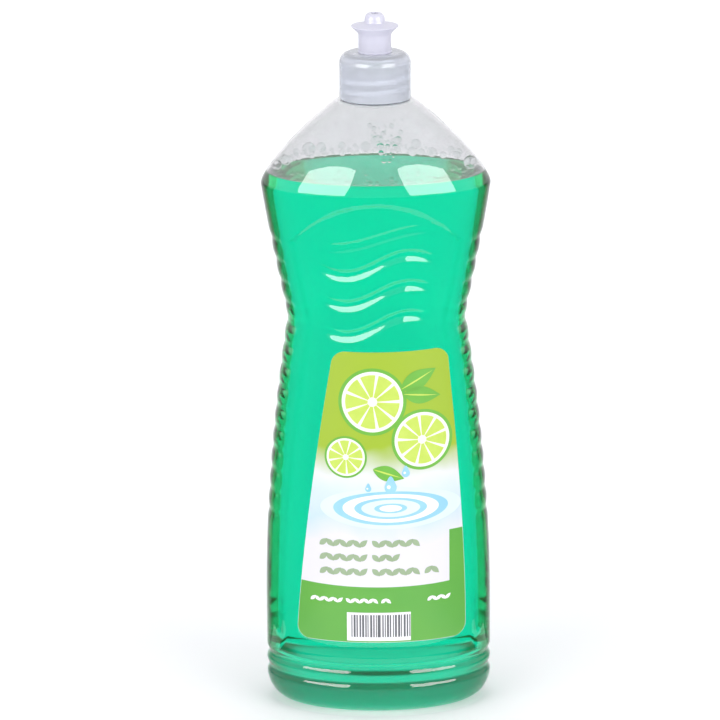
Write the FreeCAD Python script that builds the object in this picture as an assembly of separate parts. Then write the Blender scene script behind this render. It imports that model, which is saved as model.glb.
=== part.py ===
import FreeCAD, Part
import math
import os

# Dish soap bottle: a clear blow-moulded bottle with a wasted grip, filled with green soap, with one
# label, a screw cap on a sealing ring, and a push-pull spout that slides on the cap's chimney.
# Millimetres, +Z up. The origin is the middle of the base, on the surface that the bottle stands on.
# The front, with the label, faces -Y. Widths run along X and depths along Y.

Vector = FreeCAD.Vector
UP = Vector(0, 0, 1)

# Driving sizes of the bottle's body.
BASE_HALF_WIDTH = 47.8
BASE_HALF_DEPTH = 32.8
WAIST_HALF_WIDTH = 37.6
WAIST_HALF_DEPTH = 30.2
BULGE_HALF_WIDTH = 48.2
BULGE_HALF_DEPTH = 32.9
SHOULDER_TOP_RADIUS = 16.6
FOOT_RADIUS = 7.5
WALL = 0.6
FLANK_START_Z = 45.0
WAIST_Z = 169.0
BULGE_Z = 226.0
SHOULDER_TOP_Z = 261.2

# Push-up: the shallow hollow under the base, inside the ring that the bottle stands on.
STANDING_RING_WIDTH = 3.0
PUSH_UP_HEIGHT = 4.5
PUSH_UP_SLOPE_RUN = 8.0

# Grip waves: S-shaped finger ledges across the front of the waist.
WAVE_COUNT = 3
WAVE_TOP_Z = 196.2
WAVE_PITCH = 13.1
WAVE_HEIGHT = 5.6
WAVE_RISE = 4.5
WAVE_CREST_X = 13.8
WAVE_HALF_LENGTH = 27.0
WAVE_SHORTENING = 2.4
WAVE_DEPTH = 1.1

# Neck. Its thread is too fine for this model: the cap's bore clears the neck by the thread's depth.
NECK_RADIUS = 12.4
NECK_BORE = 10.9
NECK_HEIGHT = 17.5

# Contents and label.
FILL_Z = 230.7
LABEL_THICKNESS = 0.12
LABEL_CLEARANCE = 0.1
LABEL_BOTTOM_Z = 33.2
LABEL_TOP_Z = 159.3
LABEL_CENTRE_X = 1.5
LABEL_TOP_HALF_WIDTH = 24.2
LABEL_BOTTOM_HALF_WIDTH = 36.2
LABEL_TOP_CORNER = 5.0
LABEL_BOTTOM_CORNER = 5.5

# Screw cap and the sealing ring inside it.
CAP_RADIUS = 15.0
CAP_WALL = 1.1
CAP_TOP_WALL = 1.5
CAP_GAP = 0.6
CAP_CORNER = 4.6
CAP_SEAT_DEPTH = 1.6
LINER_THICKNESS = 1.0
LINER_OVERHANG = 0.2

# Chimney on the cap, with a plug pin held by ribs in its bore.
CHIMNEY_RADIUS = 4.6
CHIMNEY_BORE = 3.4
BEAD_RADIUS = 5.2
BEAD_HEIGHT = 1.2
PIN_RADIUS = 1.6
PIN_TIP_BELOW_SPOUT = 0.5
RIB_COUNT = 3
RIB_THICKNESS = 1.0
RIB_HEIGHT = 3.0

# Push-pull spout, shown pushed down. Heights are above the cap's top.
RUNNING_CLEARANCE = 0.05
SPOUT_TRAVEL = 5.0
SPOUT_LIP_HEIGHT = 1.4
SPOUT_RADIUS = 6.87
SPOUT_FLANGE_RADIUS = 9.95
SPOUT_FLANGE_Z = 11.3
SPOUT_FLANGE_EDGE = 0.5
SPOUT_CONE_HEIGHT = 3.4
SPOUT_SHOULDER_RISE = 1.6
SPOUT_TIP_RADIUS = 4.3
SPOUT_TIP_TOP_RADIUS = 2.4
SPOUT_HEIGHT = 16.4
SPOUT_LAND_HEIGHT = 1.8
SPOUT_TIP_WALL = 1.3
SPOUT_HEADROOM = 0.2

# Places that follow from the sizes above.
LIP_Z = SHOULDER_TOP_Z + NECK_HEIGHT
CAP_BOTTOM_Z = SHOULDER_TOP_Z + CAP_GAP
CAP_INNER_TOP_Z = LIP_Z + LINER_THICKNESS
CAP_TOP_Z = CAP_INNER_TOP_Z + CAP_TOP_WALL
CAP_BORE = CAP_RADIUS - CAP_WALL
SPOUT_LIP_BORE = CHIMNEY_RADIUS + RUNNING_CLEARANCE
SPOUT_BORE = BEAD_RADIUS + RUNNING_CLEARANCE
ORIFICE_RADIUS = PIN_RADIUS + RUNNING_CLEARANCE
BEAD_Z = CAP_TOP_Z + SPOUT_LIP_HEIGHT + SPOUT_TRAVEL + RUNNING_CLEARANCE
CHIMNEY_TOP_Z = BEAD_Z + BEAD_HEIGHT
SPOUT_TOP_Z = CAP_TOP_Z + SPOUT_HEIGHT
PIN_TOP_Z = SPOUT_TOP_Z - PIN_TIP_BELOW_SPOUT


def profile(z, base, waist, bulge):
    """Half size of the body at height z, along the axis whose half sizes are given.

    It stands straight up from the base, draws in along a parabola to the waist, widens almost
    straight to the bulge, and closes in along a domed shoulder to the round ledge under the cap.
    """
    if z <= FLANK_START_Z:
        return base
    if z <= WAIST_Z:
        run = (WAIST_Z - z) / (WAIST_Z - FLANK_START_Z)
        return waist + (base - waist) * (1 - (1 - run) ** 1.9)
    if z <= BULGE_Z:
        run = (BULGE_Z - z) / (BULGE_Z - WAIST_Z)
        return bulge - (bulge - waist) * run ** 1.12
    run = min(1.0, (z - BULGE_Z) / (SHOULDER_TOP_Z - BULGE_Z))
    return bulge - (bulge - SHOULDER_TOP_RADIUS) * run ** 1.35


def half_width(z):
    return profile(z, BASE_HALF_WIDTH, WAIST_HALF_WIDTH, BULGE_HALF_WIDTH)


def half_depth(z):
    return profile(z, BASE_HALF_DEPTH, WAIST_HALF_DEPTH, BULGE_HALF_DEPTH)


def drawn_in(size, z, inset):
    """size(z) less a wall that is inset thick along the profile's own normal."""
    step = 0.5
    slope = (size(z + step) - size(z - step)) / (2 * step)
    return size(z) - inset * math.sqrt(1 + slope * slope)


def section(half_x, half_y, z):
    """Elliptical section in four arcs that meet on the diagonals, so the front is one face."""
    oval = Part.Ellipse(Vector(0, 0, z), half_x, half_y)
    arcs = ((-135, -45), (-45, 45), (45, 135), (135, 225))
    return Part.Wire([oval.toShape(math.radians(start), math.radians(end)) for start, end in arcs])


def stacked(profile):
    """Solid of round sections about the bottle's axis, straight from each (radius, z) to the next."""
    rings = [Part.Wire(Part.makeCircle(radius, Vector(0, 0, z))) for radius, z in profile]
    return Part.makeLoft(rings, True, True)


def rounded(middle_radius, middle_z, across, upward):
    """Quarter oval for stacked(), in short straight steps from its side to its top."""
    turns = [math.radians(degrees) for degrees in (0, 30, 60, 90)]
    return [(middle_radius + across * math.cos(t), middle_z + upward * math.sin(t)) for t in turns]


def spread(low, high, shares):
    return [low + (high - low) * share for share in shares]


def body_levels():
    """Heights of the body's sections above the foot, closer together where the profile bends."""
    foot = [FOOT_RADIUS]
    lower = spread(FLANK_START_Z, WAIST_Z, (0, 0.43, 0.62, 0.765, 0.885, 1))
    upper = spread(WAIST_Z, BULGE_Z, (0.17, 0.36, 0.56, 0.77, 1))
    shoulder = spread(BULGE_Z, SHOULDER_TOP_Z, (0.14, 0.28, 0.42, 0.56, 0.7, 0.85))
    return foot + lower + upper + shoulder


def on_skin(size, z):
    """size(z) as the ruled skin has it: straight from one of the body's sections to the next."""
    levels = body_levels()
    index = max(i for i, level in enumerate(levels[:-1]) if level <= z)
    low, high = levels[index], levels[index + 1]
    return size(low) + (size(high) - size(low)) * (z - low) / (high - low)


def body(inset):
    """The body from its standing face to the top of its shoulder, drawn in by inset all round."""
    foot = FOOT_RADIUS - inset
    sections = []
    for degrees in (0, 45):
        turn = math.radians(degrees)
        out = foot * math.sin(turn) - FOOT_RADIUS
        z = FOOT_RADIUS - foot * math.cos(turn)
        sections.append(section(BASE_HALF_WIDTH + out, BASE_HALF_DEPTH + out, z))
    for z in body_levels():
        sections.append(section(drawn_in(half_width, z, inset), drawn_in(half_depth, z, inset), z))
    top_radius = SHOULDER_TOP_RADIUS - inset
    sections.append(section(top_radius, top_radius, SHOULDER_TOP_Z - inset))
    return Part.makeLoft(sections, True, True)


def push_up(inset):
    """The hollow under the base, grown by inset. Its rim leaves the standing ring flat."""
    rim = BASE_HALF_DEPTH - FOOT_RADIUS - STANDING_RING_WIDTH + inset
    return stacked([(rim, inset), (rim - PUSH_UP_SLOPE_RUN, PUSH_UP_HEIGHT + inset)])


def front_y(x, z, inset):
    """Y of the front of the body, drawn in by inset, at x and z."""
    across = half_width(z) - inset
    through = half_depth(z) - inset
    return -through * math.sqrt(1 - (x / across) ** 2)


def smooth_edge(points):
    curve = Part.BSplineCurve()
    curve.interpolate(points)
    return curve.toShape()


def wave_cutter(index, inset):
    """Wedge that cuts one grip wave: a ledge along its upper line, then a slope back out to the skin.

    The ledge faces down and the slope faces up. Both run out to nothing at the wave's ends.
    """
    clear = 1.0
    half_length = WAVE_HALF_LENGTH - WAVE_SHORTENING * index
    middle_z = WAVE_TOP_Z - WAVE_PITCH * index
    upper_out, upper_in, lower_in, lower_out = [], [], [], []
    for step in range(-5, 6):
        share = step / 5
        x = half_length * share
        swing = WAVE_RISE * math.sin(math.pi / 2 * x / WAVE_CREST_X)
        upper_z = middle_z + swing + WAVE_HEIGHT / 2 + inset
        lower_z = middle_z + swing - WAVE_HEIGHT / 2
        depth = inset + WAVE_DEPTH * (1 - share ** 4)
        upper_out.append(Vector(x, front_y(x, upper_z, 0) - clear, upper_z))
        upper_in.append(Vector(x, front_y(x, upper_z, depth), upper_z))
        lower_in.append(Vector(x, front_y(x, lower_z, inset), lower_z))
        lower_out.append(Vector(x, front_y(x, lower_z, 0) - clear, lower_z))
    lines = [upper_out, upper_in, lower_in, lower_out]
    edges = [smooth_edge(line) for line in lines]
    faces = [Part.makeRuledSurface(edges[i], edges[(i + 1) % 4]) for i in range(4)]
    for end in (0, -1):
        corners = [line[end] for line in lines]
        faces.append(Part.Face(Part.makePolygon(corners + corners[:1])))
    shell = Part.makeShell(faces)
    shell.sewShape()
    wedge = Part.Solid(Part.Shell(shell.Faces))
    if wedge.Volume < 0:
        wedge.reverse()
    return wedge


def skin(inset):
    """The body drawn in by inset, with its push-up and grip waves."""
    shape = body(inset).cut(push_up(inset))
    for index in range(WAVE_COUNT):
        shape = shape.cut(wave_cutter(index, inset))
    return shape


def rod(radius, low, high):
    return Part.makeCylinder(radius, high - low, Vector(0, 0, low))


def make_bottle(cavity):
    neck = rod(NECK_RADIUS, SHOULDER_TOP_Z - WALL / 2, LIP_Z)
    bore = rod(NECK_BORE, SHOULDER_TOP_Z - 2 * WALL, LIP_Z)
    return skin(0).fuse(neck).cut(cavity.fuse(bore))


def make_soap(cavity):
    """The soap fills the cavity up to the fill level."""
    reach = 2 * (BASE_HALF_WIDTH + BULGE_HALF_WIDTH)
    below = Part.makeBox(reach, reach, FILL_Z, Vector(-reach / 2, -reach / 2, 0))
    return cavity.common(below)


def label_half_width(z):
    share = (z - LABEL_BOTTOM_Z) / (LABEL_TOP_Z - LABEL_BOTTOM_Z)
    half = LABEL_BOTTOM_HALF_WIDTH + (LABEL_TOP_HALF_WIDTH - LABEL_BOTTOM_HALF_WIDTH) * share ** 1.5
    for corner, edge in ((LABEL_BOTTOM_CORNER, z - LABEL_BOTTOM_Z), (LABEL_TOP_CORNER, LABEL_TOP_Z - z)):
        if edge < corner:
            half -= corner - math.sqrt(max(0.0, corner ** 2 - (corner - edge) ** 2))
    return half


def label_section(z):
    """Thin crescent across the front of the bottle, the label's own thickness deep."""
    rounds = []
    for offset in (LABEL_CLEARANCE, LABEL_CLEARANCE + LABEL_THICKNESS):
        across = on_skin(half_width, z) + offset
        through = on_skin(half_depth, z) + offset
        half = label_half_width(z)
        oval = Part.Ellipse(Vector(0, 0, z), across, through)
        start = -math.acos((LABEL_CENTRE_X - half) / across)
        end = -math.acos((LABEL_CENTRE_X + half) / across)
        rounds.append(oval.toShape(start, end))
    near, far = rounds
    sides = [Part.LineSegment(near.Vertexes[i].Point, far.Vertexes[i].Point).toShape() for i in (0, 1)]
    return Part.Wire(Part.__sortEdges__([near, sides[1], far, sides[0]]))


def make_label():
    corner_shares = (0, 0.2, 1)
    low = [LABEL_BOTTOM_Z + LABEL_BOTTOM_CORNER * share for share in corner_shares]
    high = [LABEL_TOP_Z - LABEL_TOP_CORNER * share for share in reversed(corner_shares)]
    middle = spread(low[-1], high[0], (0.22, 0.36, 0.48, 0.59, 0.68, 0.77, 0.85, 0.93))
    levels = low + middle + high
    return Part.makeLoft([label_section(z) for z in levels], True, True)


def make_liner():
    hole = rod(NECK_BORE, LIP_Z, CAP_INNER_TOP_Z)
    return rod(NECK_RADIUS + LINER_OVERHANG, LIP_Z, CAP_INNER_TOP_Z).cut(hole)


def make_cap():
    """Thin smooth cap with a round top corner, and the chimney that the spout slides on."""
    corner = rounded(CAP_RADIUS - CAP_CORNER, CAP_TOP_Z - CAP_CORNER, CAP_CORNER, CAP_CORNER)
    outside = stacked([(CAP_RADIUS, CAP_BOTTOM_Z)] + corner)
    chimney = rod(CHIMNEY_RADIUS, CAP_INNER_TOP_Z, CHIMNEY_TOP_Z)
    bead = rod(BEAD_RADIUS, BEAD_Z, CHIMNEY_TOP_Z)
    seat_z = CAP_INNER_TOP_Z - CAP_SEAT_DEPTH
    inside = rod(CAP_BORE, CAP_BOTTOM_Z, seat_z)
    seat = rod(NECK_RADIUS + LINER_OVERHANG + RUNNING_CLEARANCE, seat_z, CAP_INNER_TOP_Z)
    bore = rod(CHIMNEY_BORE, CAP_INNER_TOP_Z, CHIMNEY_TOP_Z)
    rib_low = CHIMNEY_TOP_Z - RIB_HEIGHT
    plug = [rod(PIN_RADIUS, rib_low, PIN_TOP_Z)]
    reach = (CHIMNEY_BORE + CHIMNEY_RADIUS) / 2
    for i in range(RIB_COUNT):
        rib = Part.makeBox(reach, RIB_THICKNESS, RIB_HEIGHT, Vector(0, -RIB_THICKNESS / 2, rib_low))
        rib.rotate(Vector(0, 0, 0), UP, 360 * i / RIB_COUNT)
        plug.append(rib)
    return outside.fuse([chimney, bead]).cut([inside, seat, bore]).fuse(plug).removeSplitter()


def make_spout():
    """Skirt with a lip that rides on the chimney, a finger flange, and a domed tip with the orifice."""
    flange_z = CAP_TOP_Z + SPOUT_FLANGE_Z
    tip_z = flange_z + SPOUT_SHOULDER_RISE
    lip_top_z = CAP_TOP_Z + SPOUT_LIP_HEIGHT
    bore_top_z = CHIMNEY_TOP_Z + SPOUT_HEADROOM
    land_z = SPOUT_TOP_Z - SPOUT_LAND_HEIGHT
    throat = SPOUT_TIP_RADIUS - SPOUT_TIP_WALL
    dome = rounded(SPOUT_TIP_TOP_RADIUS, tip_z, SPOUT_TIP_RADIUS - SPOUT_TIP_TOP_RADIUS, SPOUT_TOP_Z - tip_z)
    outside = stacked([
        (SPOUT_RADIUS, CAP_TOP_Z),
        (SPOUT_RADIUS, flange_z - SPOUT_CONE_HEIGHT),
        (SPOUT_FLANGE_RADIUS, flange_z - SPOUT_FLANGE_EDGE),
        (SPOUT_FLANGE_RADIUS, flange_z),
    ] + dome)
    skirt_bore = rod(SPOUT_BORE, lip_top_z, bore_top_z)
    funnel = stacked([(SPOUT_BORE, bore_top_z), (throat, flange_z), (throat, land_z)])
    lip_bore = rod(SPOUT_LIP_BORE, CAP_TOP_Z, lip_top_z)
    orifice = rod(ORIFICE_RADIUS, land_z, SPOUT_TOP_Z)
    return outside.cut([skirt_bore, funnel, lip_bore, orifice])


cavity = skin(WALL)
pieces = {
    "bottle": make_bottle(cavity),
    "dish_soap": make_soap(cavity),
    "front_label": make_label(),
    "cap_liner": make_liner(),
    "screw_cap": make_cap(),
    "pull_spout": make_spout(),
}

os.makedirs("parts", exist_ok=True)
for name, shape in pieces.items():
    solid = shape.Solids[0]
    print(name, len(shape.Solids), "solid, valid", shape.isValid(), "volume", round(solid.Volume, 1), "mm3")
    solid.exportStep("parts/" + name + ".step")
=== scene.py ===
import math
import random

import bmesh
import bpy
import numpy as np
from mathutils import Matrix, Vector


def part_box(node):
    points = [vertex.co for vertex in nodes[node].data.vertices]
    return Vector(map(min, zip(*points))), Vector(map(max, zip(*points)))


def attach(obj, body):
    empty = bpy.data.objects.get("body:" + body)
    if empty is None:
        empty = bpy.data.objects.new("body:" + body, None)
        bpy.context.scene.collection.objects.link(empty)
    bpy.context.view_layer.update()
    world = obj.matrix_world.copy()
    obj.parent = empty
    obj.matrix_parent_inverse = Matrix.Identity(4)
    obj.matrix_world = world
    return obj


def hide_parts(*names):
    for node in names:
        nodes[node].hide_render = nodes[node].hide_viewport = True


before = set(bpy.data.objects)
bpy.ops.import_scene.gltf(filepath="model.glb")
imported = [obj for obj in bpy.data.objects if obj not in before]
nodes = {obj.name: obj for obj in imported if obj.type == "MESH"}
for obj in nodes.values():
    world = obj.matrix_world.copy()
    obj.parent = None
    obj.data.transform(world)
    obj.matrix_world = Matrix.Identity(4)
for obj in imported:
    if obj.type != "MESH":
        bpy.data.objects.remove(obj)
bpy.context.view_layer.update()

# Everything is placed in the frame of the solids: +Z up, the label faces -Y, and the origin is the
# middle of the base. Shapes are worked out in millimetres and turned to metres as their mesh is made.
MM = 0.001


def span(node, axis):
    """Lowest and highest place of a solid along an axis, in millimetres."""
    low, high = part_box(node)
    return low[axis] / MM, high[axis] / MM


# Sizes read from the solids.
LIP_Z, CAP_INNER_TOP_Z = span("cap_liner", 2)
CAP_BOTTOM_Z, PIN_TOP_Z = span("screw_cap", 2)
CAP_RADIUS = span("screw_cap", 0)[1]
CAP_TOP_Z, SPOUT_TOP_Z = span("pull_spout", 2)
FLANGE_RADIUS = span("pull_spout", 0)[1]
FILL_Z = span("dish_soap", 2)[1]
LABEL_BOTTOM_Z, LABEL_TOP_Z = span("front_label", 2)

# Sizes of the bottle's body, as in the solid, but for a shallower push-up in the base.
BASE_HALF_WIDTH, BASE_HALF_DEPTH = 47.8, 32.8
WAIST_HALF_WIDTH, WAIST_HALF_DEPTH = 37.6, 30.2
BULGE_HALF_WIDTH, BULGE_HALF_DEPTH = 48.2, 32.9
SHOULDER_TOP_RADIUS = 16.6
WALL = 0.6
FLANK_START_Z, WAIST_Z, BULGE_Z, SHOULDER_TOP_Z = 45.0, 169.0, 226.0, 261.2
FLANK_CURVE, GRIP_CURVE, DOME_CURVE = 1.9, 1.12, 1.35
SHOULDER_EDGE, SHOULDER_EDGE_REACH = 0.9, 1.6
NECK_RADIUS, NECK_BORE = 12.4, 10.9
PUSH_UP_HEIGHT, PUSH_UP_EDGE = 3.2, 3.0
WAVE_COUNT, WAVE_TOP_Z, WAVE_PITCH, WAVE_HEIGHT = 3, 196.2, 13.1, 5.6
WAVE_RISE, WAVE_CREST_X, WAVE_HALF_LENGTH, WAVE_SHORTENING = 4.5, 13.8, 27.0, 2.4
WAVE_DEPTH, WAVE_LEDGE, WAVE_SLOPE = 1.1, 0.9, 2.9

# Finer relief of the mould, which the solid leaves out. Its foot is a plain quarter round.
FOOT_INSET, FOOT_HEIGHT = 11.0, 13.0
FAINT_WAVE_Z, FAINT_WAVE_RISE, FAINT_WAVE_CREST_X = 207.4, 4.0, 20.0
FAINT_WAVE_HALF_LENGTH, FAINT_WAVE_DEPTH = 31.0, 0.45
BASE_GROOVES_Z, BASE_GROOVE_HALF_HEIGHT, BASE_GROOVE_DEPTH = (15.1, 21.4), 2.9, 0.9
PANEL_DEPTH, PANEL_STEP, PANEL_BOTTOM_Z, PANEL_BOTTOM_EASE = 1.0, 2.1, 25.5, 0.35
PANEL_ARCH_RADIUS, PANEL_ARCH_Z = 44.6, 179.1
PANEL_MARGIN_BASE, PANEL_MARGIN_WAIST = 5.6, 8.4
NOTCH_COUNT, NOTCH_PITCH, NOTCH_BOTTOM_Z, NOTCH_DEPTH = 14, 9.1, 84.5, 0.6
NOTCH_REACH, NOTCH_FADE = 12.0, 4.0

# Label.
LABEL_THICKNESS, LABEL_GLUE = 0.12, 0.03
LABEL_CENTRE_X, LABEL_LEAN = 1.2, 4.4
LABEL_TOP_HALF_WIDTH, LABEL_BOTTOM_HALF_WIDTH = 24.2, 36.2
LABEL_TOP_CORNER, LABEL_BOTTOM_CORNER, LABEL_TAPER = 5.0, 5.5, 1.5
INK = 0.012


def profile(z, base, waist, bulge, edged):
    """Half size of the body at height z: straight, drawn in to the waist, out to the bulge, domed shoulder.

    The waist is edged at the sides. Across the front and the back it turns softly."""
    z = np.asarray(z, float)
    flank = np.clip((WAIST_Z - z) / (WAIST_Z - FLANK_START_Z), 0, 1)
    grip = np.clip((BULGE_Z - z) / (BULGE_Z - WAIST_Z), 0, 1)
    dome = np.clip((z - BULGE_Z) / (SHOULDER_TOP_Z - BULGE_Z), 0, 1)
    if edged:
        flank, grip = 1 - (1 - flank) ** FLANK_CURVE, grip ** GRIP_CURVE
    else:
        flank, grip = soft_step(flank), soft_step(grip)
    below = waist + (base - waist) * flank
    above = bulge - (bulge - waist) * grip - (bulge - SHOULDER_TOP_RADIUS) * dome ** DOME_CURVE
    return np.where(z < WAIST_Z, below, above)


def half_width(z):
    """Half width of the body, which the solid's silhouette has too."""
    return profile(z, BASE_HALF_WIDTH, WAIST_HALF_WIDTH, BULGE_HALF_WIDTH, True)


def half_depth(z):
    """Half depth of the body."""
    return profile(z, BASE_HALF_DEPTH, WAIST_HALF_DEPTH, BULGE_HALF_DEPTH, False)


def drawn_in(size, z, inset):
    """size(z) less a wall that is inset thick along the profile's own normal."""
    slope = size(z + 0.5) - size(z - 0.5)
    return size(z) - inset * np.sqrt(1 + slope ** 2)


def soft_step(t):
    """Share that leaves 0 and reaches 1 with no edge at either."""
    t = np.clip(t, 0, 1)
    return t * t * (3 - 2 * t)


def wave_depth(x, z, middle_z, rise, crest_x, half_length, depth):
    """One finger wave: a ledge that faces down, and below it a rounded slope back out."""
    v = z - middle_z - rise * np.sin(math.pi / 2 * np.clip(x / crest_x, -2, 2))
    ledge = soft_step((WAVE_HEIGHT / 2 - v) / WAVE_LEDGE)
    slope = soft_step((v + WAVE_HEIGHT / 2) / WAVE_SLOPE)
    share = np.clip(np.abs(x) / half_length, 0, 1)
    return depth * (1 - share ** 4) * np.minimum(ledge, slope)


def relief(x, y, z):
    """How deep the mould's detail presses the skin in at a place on it, in millimetres."""
    depth = 0
    for middle_z in BASE_GROOVES_Z:
        share = np.clip(np.abs(z - middle_z) / BASE_GROOVE_HALF_HEIGHT, 0, 1)
        depth = depth + BASE_GROOVE_DEPTH * (0.5 + 0.5 * np.cos(math.pi * share))

    rise = np.clip((z - PANEL_BOTTOM_Z) / (WAIST_Z - PANEL_BOTTOM_Z), 0, 1)
    margin = PANEL_MARGIN_BASE + (PANEL_MARGIN_WAIST - PANEL_MARGIN_BASE) * rise
    inside = np.minimum(PANEL_BOTTOM_EASE * (z - PANEL_BOTTOM_Z), half_width(z) - margin - np.abs(x))
    arch = PANEL_ARCH_RADIUS - np.hypot(x, np.maximum(0, z - PANEL_ARCH_Z))
    front = y < 0
    depth = depth + PANEL_DEPTH * soft_step(np.minimum(inside, arch) / PANEL_STEP) * front

    for i in range(WAVE_COUNT):
        middle_z = WAVE_TOP_Z - WAVE_PITCH * i
        half_length = WAVE_HALF_LENGTH - WAVE_SHORTENING * i
        depth = depth + front * wave_depth(x, z, middle_z, WAVE_RISE, WAVE_CREST_X, half_length, WAVE_DEPTH)
    depth = depth + front * wave_depth(
        x, z, FAINT_WAVE_Z, FAINT_WAVE_RISE, FAINT_WAVE_CREST_X, FAINT_WAVE_HALF_LENGTH, FAINT_WAVE_DEPTH)

    turn = (z - NOTCH_BOTTOM_Z) / NOTCH_PITCH
    scallop = 1 - np.abs(np.sin(math.pi * turn))
    within = (turn > -0.5) & (turn < NOTCH_COUNT - 0.5)
    fade = soft_step((NOTCH_REACH + NOTCH_FADE - np.abs(y)) / NOTCH_FADE)
    return depth + NOTCH_DEPTH * scallop * fade * within


def on_skin(x, z, offset):
    """Point on the front of the finished skin at x and z, moved out by offset along the oval's normal."""
    x, z = np.broadcast_arrays(np.asarray(x, float), np.asarray(z, float))
    across, through = half_width(z), half_depth(z)
    y = -through * np.sqrt(np.maximum(0, 1 - (x / across) ** 2))
    outward = np.stack([x / across ** 2, y / through ** 2], -1)
    outward /= np.linalg.norm(outward, axis=-1, keepdims=True)
    move = (offset - relief(x, y, z))[..., None] * outward
    return np.stack([x + move[..., 0], y + move[..., 1], z], -1)


def ring(across, through, z, count, inset=0.0):
    """Oval ring of points at height z, with the mould's detail pressed in."""
    turn = np.arange(count) * 2 * math.pi / count
    x, y = across * np.cos(turn), through * np.sin(turn)
    outward = np.stack([np.cos(turn) / across, np.sin(turn) / through], -1)
    outward /= np.linalg.norm(outward, axis=-1, keepdims=True)
    move = inset - relief(x, y, np.full(count, float(z)))
    return np.column_stack([x + move * outward[:, 0], y + move * outward[:, 1], np.full(count, float(z))])


def plain_ring(across, through, z, count):
    """Oval ring of points with no detail."""
    turn = np.arange(count) * 2 * math.pi / count
    return np.column_stack([across * np.cos(turn), through * np.sin(turn), np.full(count, float(z))])


WELD = 1e-7


def piece(name, points, faces, material, body, slot, node=None, sharp_degrees=35, turn_out=True):
    """Mesh object from points in millimetres, shaded smooth with sharp edges kept, riding on its body."""
    mesh = bpy.data.meshes.new(name)
    mesh.from_pydata((np.asarray(points, float) * MM).tolist(), [], faces)
    shape = bmesh.new()
    shape.from_mesh(mesh)
    bmesh.ops.remove_doubles(shape, verts=shape.verts, dist=WELD)
    bmesh.ops.dissolve_degenerate(shape, edges=shape.edges, dist=WELD)
    if turn_out:
        bmesh.ops.recalc_face_normals(shape, faces=shape.faces)
    limit = math.radians(sharp_degrees)
    for face in shape.faces:
        face.smooth = True
    for edge in shape.edges:
        edge.smooth = len(edge.link_faces) != 2 or edge.calc_face_angle(0) < limit
    shape.to_mesh(mesh)
    shape.free()
    mesh.materials.append(material)
    made = bpy.data.objects.new(name, mesh)
    bpy.context.scene.collection.objects.link(made)
    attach(made, body)
    if node:
        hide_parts(node)
    return made


def stitched(rings, poles=True, loop=False):
    """Points and faces of rings joined one to the next, with their ends closed at poles or in a loop."""
    count = len(rings[0])
    points = [point for one in rings for point in one]
    faces = []
    steps = len(rings) if loop else len(rings) - 1
    for i in range(steps):
        low, high = i * count, (i + 1) % len(rings) * count
        for j in range(count):
            k = (j + 1) % count
            faces.append((low + j, low + k, high + k, high + j))
    if poles and not loop:
        for one, start in ((rings[0], 0), (rings[-1], (len(rings) - 1) * count)):
            points.append(np.mean(one, axis=0))
            pole = len(points) - 1
            faces += [(start + j, start + (j + 1) % count, pole) for j in range(count)]
    return points, faces


def turned(outline, count=128):
    """Points and faces of a closed outline of (radius, z) corners turned about the bottle's axis."""
    return stitched([plain_ring(radius, radius, z, count) for radius, z in outline], loop=True)


def arc(centre_radius, centre_z, radius, start, end, steps=6):
    """Corners of a round stretch for turned(), from one angle to another in degrees."""
    turns = [math.radians(start + (end - start) * i / steps) for i in range(steps + 1)]
    return [(centre_radius + radius * math.cos(t), centre_z + radius * math.sin(t)) for t in turns]


def joined(*parts):
    """Several lots of points and faces as one."""
    points, faces = [], []
    for some_points, some_faces in parts:
        start = len(points)
        points += list(some_points)
        faces += [tuple(start + i for i in face) for face in some_faces]
    return points, faces


# Materials.


def linear(colour):
    """Linear RGBA of an sRGB hex colour."""
    parts = [int(colour[i:i + 2], 16) / 255 for i in (1, 3, 5)]
    return tuple(c / 12.92 if c <= 0.04045 else ((c + 0.055) / 1.055) ** 2.4 for c in parts) + (1.0,)


def add(tree, kind, settings={}, links={}):
    """Adds a node. Settings with a capital or a number are its sockets' values, the rest are its own."""
    node = tree.nodes.new(kind)
    for key, value in settings.items():
        if isinstance(key, int) or key[0].isupper():
            node.inputs[key].default_value = value
        else:
            setattr(node, key, value)
    for key, source in links.items():
        tree.links.new(source, node.inputs[key])
    return node


def material(name):
    """New material with its node tree, its shader and the place on the object in metres."""
    made = bpy.data.materials.new(name)
    made.use_nodes = True
    tree = made.node_tree
    place = add(tree, "ShaderNodeTexCoord")
    return made, tree, tree.nodes["Principled BSDF"], place.outputs["Object"]


def per_mm(size):
    """Noise scale for features about this many millimetres across."""
    return 1 / (size * MM)


def mottled(tree, place, size, low, high, socket):
    """A value that drifts between two limits over features of a size in millimetres, fed to a socket."""
    noise = add(tree, "ShaderNodeTexNoise", {"Scale": per_mm(size), "Detail": 3.0}, {"Vector": place})
    shaped = add(tree, "ShaderNodeMapRange", {"To Min": low, "To Max": high}, {"Value": noise.outputs[0]})
    tree.links.new(shaped.outputs[0], socket)


def tinted(tree, place, size, colour_a, colour_b, socket):
    """A colour that drifts between two near ones, fed to a socket."""
    noise = add(tree, "ShaderNodeTexNoise", {"Scale": per_mm(size), "Detail": 2.0}, {"Vector": place})
    mix = add(tree, "ShaderNodeMix", {"data_type": "RGBA", 6: linear(colour_a), 7: linear(colour_b)},
              {0: noise.outputs[0]})
    tree.links.new(mix.outputs[2], socket)


def rippled(tree, place, size, height, socket):
    """Bump of a height in millimetres over features of a size in millimetres."""
    noise = add(tree, "ShaderNodeTexNoise", {"Scale": per_mm(size), "Detail": 2.0}, {"Vector": place})
    bump = add(tree, "ShaderNodeBump", {"Strength": 1.0, "Distance": height * MM},
               {"Height": noise.outputs[0]})
    tree.links.new(bump.outputs[0], socket)


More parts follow.
